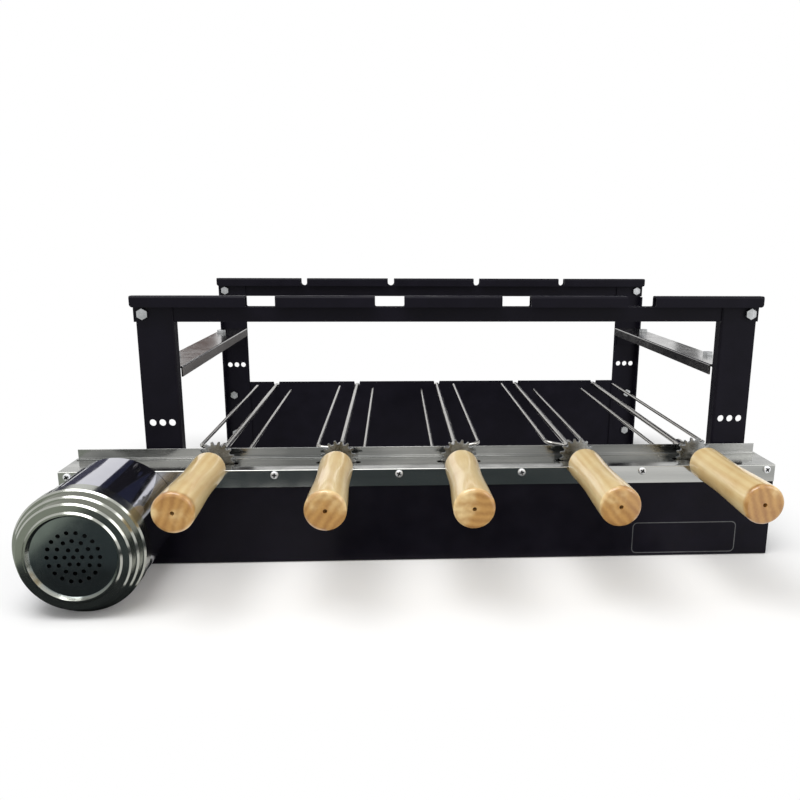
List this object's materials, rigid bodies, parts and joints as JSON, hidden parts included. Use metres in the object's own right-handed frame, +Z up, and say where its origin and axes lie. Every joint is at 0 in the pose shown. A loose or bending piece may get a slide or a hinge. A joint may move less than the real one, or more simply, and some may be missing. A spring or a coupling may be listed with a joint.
{
  "type": "electric skewer grill",
  "caption": "Free-standing grill frame in black folded steel: a geared motor and a roller chain turn a row of wooden-handled fork skewers together.",
  "frame": {"origin": "on the floor, under the centre line of the chain housing and midway between the left and right posts", "axes": "+X to the right seen from the handles, +Y from the handles to the rear panel, +Z up"},
  "size_m": [0.704, 0.5575, 0.26],
  "materials": {
    "black_steel": "satin heat-resistant paint",
    "stainless": "cold-rolled",
    "polished_stainless": "polished",
    "zinc": "zinc plated",
    "oiled_steel": "oiled",
    "rubber": "matt",
    "nylon": "matt",
    "cast_aluminium": "die-cast",
    "motor_black": "satin",
    "bronze": "sintered",
    "pine": "turned and bare"
  },
  "bodies": {
    "frame": {"front_left_post": "black_steel", "front_right_post": "black_steel", "rear_left_post": "black_steel", "rear_right_post": "black_steel", "front_top_bar": "black_steel", "rear_top_bar": "black_steel", "rear_panel": "black_steel", "left_side_rail": "stainless", "right_side_rail": "stainless", "front_left_bracket": "black_steel", "front_right_bracket": "black_steel", "rear_left_bracket": "black_steel", "rear_right_bracket": "black_steel", "chain_housing": "black_steel", "left_end_plate": "black_steel", "right_end_plate": "black_steel", "cord_grommet": "rubber", "rail_cover": "stainless", "skewer_rest": "stainless", "roller_chain": "oiled_steel", "chain_guide": "nylon", "idler_axle": "zinc", "idler_clip": "zinc", "motor_plate": "zinc", "gearbox": "cast_aluminium", "motor_body": "motor_black", "motor_can": "polished_stainless", "motor_cap": "polished_stainless", "drive_bearing": "bronze", "top_bar_bolts": "zinc", "rear_panel_bolts": "zinc", "housing_bolts": "zinc", "side_rail_bolts": "zinc", "rail_cover_screws": "zinc", "motor_screws": "zinc"},
    "drive": {"drive_shaft": "zinc", "drive_sprocket": "oiled_steel"},
    "idler": {"idler_sprocket": "oiled_steel"},
    "skewer_1": {"skewer_1_handle": "pine", "skewer_1_rod": "stainless", "skewer_1_fork": "stainless", "skewer_1_sprocket": "zinc"},
    "skewer_2": {"skewer_2_handle": "pine", "skewer_2_rod": "stainless", "skewer_2_fork": "stainless", "skewer_2_sprocket": "zinc"},
    "skewer_3": {"skewer_3_handle": "pine", "skewer_3_rod": "stainless", "skewer_3_fork": "stainless", "skewer_3_sprocket": "zinc"},
    "skewer_4": {"skewer_4_handle": "pine", "skewer_4_rod": "stainless", "skewer_4_fork": "stainless", "skewer_4_sprocket": "zinc"},
    "skewer_5": {"skewer_5_handle": "pine", "skewer_5_rod": "stainless", "skewer_5_fork": "stainless", "skewer_5_sprocket": "zinc"}
  },
  "joints": [
    {"name": "drive_turn", "type": "hinge", "parent": "frame", "child": "drive", "pos_m": [-0.3247, -0.001, 0.056], "axis": [0, 1, 0], "continuous": true, "deforming": ["roller_chain"]},
    {"name": "idler_turn", "type": "hinge", "parent": "frame", "child": "idler", "pos_m": [0.2849, -0.001, 0.056], "axis": [0, 1, 0], "continuous": true},
    {"name": "skewer_1_turn", "type": "hinge", "parent": "frame", "child": "skewer_1", "pos_m": [-0.2358, -0.001, 0.10063], "axis": [0, 1, 0], "continuous": true},
    {"name": "skewer_2_turn", "type": "hinge", "parent": "frame", "child": "skewer_2", "pos_m": [-0.11515, -0.001, 0.10063], "axis": [0, 1, 0], "continuous": true},
    {"name": "skewer_3_turn", "type": "hinge", "parent": "frame", "child": "skewer_3", "pos_m": [0.0055, -0.001, 0.10063], "axis": [0, 1, 0], "continuous": true},
    {"name": "skewer_4_turn", "type": "hinge", "parent": "frame", "child": "skewer_4", "pos_m": [0.12615, -0.001, 0.10063], "axis": [0, 1, 0], "continuous": true},
    {"name": "skewer_5_turn", "type": "hinge", "parent": "frame", "child": "skewer_5", "pos_m": [0.2468, -0.001, 0.10063], "axis": [0, 1, 0], "continuous": true}
  ],
  "couplings": [
    {"joint": "idler_turn", "follows": "drive_turn", "ratio": 1},
    {"joint": "skewer_1_turn", "follows": "drive_turn", "ratio": -1.75},
    {"joint": "skewer_2_turn", "follows": "drive_turn", "ratio": -1.75},
    {"joint": "skewer_3_turn", "follows": "drive_turn", "ratio": -1.75},
    {"joint": "skewer_4_turn", "follows": "drive_turn", "ratio": -1.75},
    {"joint": "skewer_5_turn", "follows": "drive_turn", "ratio": -1.75}
  ]
}
